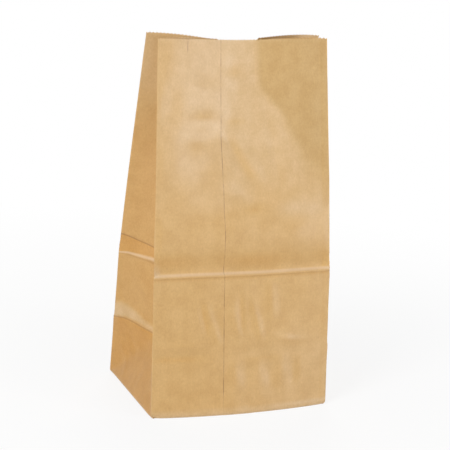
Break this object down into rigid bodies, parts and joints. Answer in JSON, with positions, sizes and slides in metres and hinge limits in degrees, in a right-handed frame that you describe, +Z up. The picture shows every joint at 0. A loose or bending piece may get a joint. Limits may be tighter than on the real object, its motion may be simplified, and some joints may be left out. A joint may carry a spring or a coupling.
{
  "type": "paper lunch bag",
  "caption": "Opened flat-bottomed brown paper lunch bag with inward side gussets, toothed mouth and a thumb notch in the far panel.",
  "frame": {"origin": "middle of the folded base, on the surface that the bag stands on", "axes": "+Z up through the mouth, -Y out of the front panel with the glued seam, +Y out of the far panel with the thumb notch"},
  "size_m": [0.1607, 0.1243, 0.3136],
  "materials": {
    "kraft_paper": "matt brown kraft paper, lightly creased"
  },
  "bodies": {
    "root": {"paper_bag": "kraft_paper"}
  },
  "joints": []
}
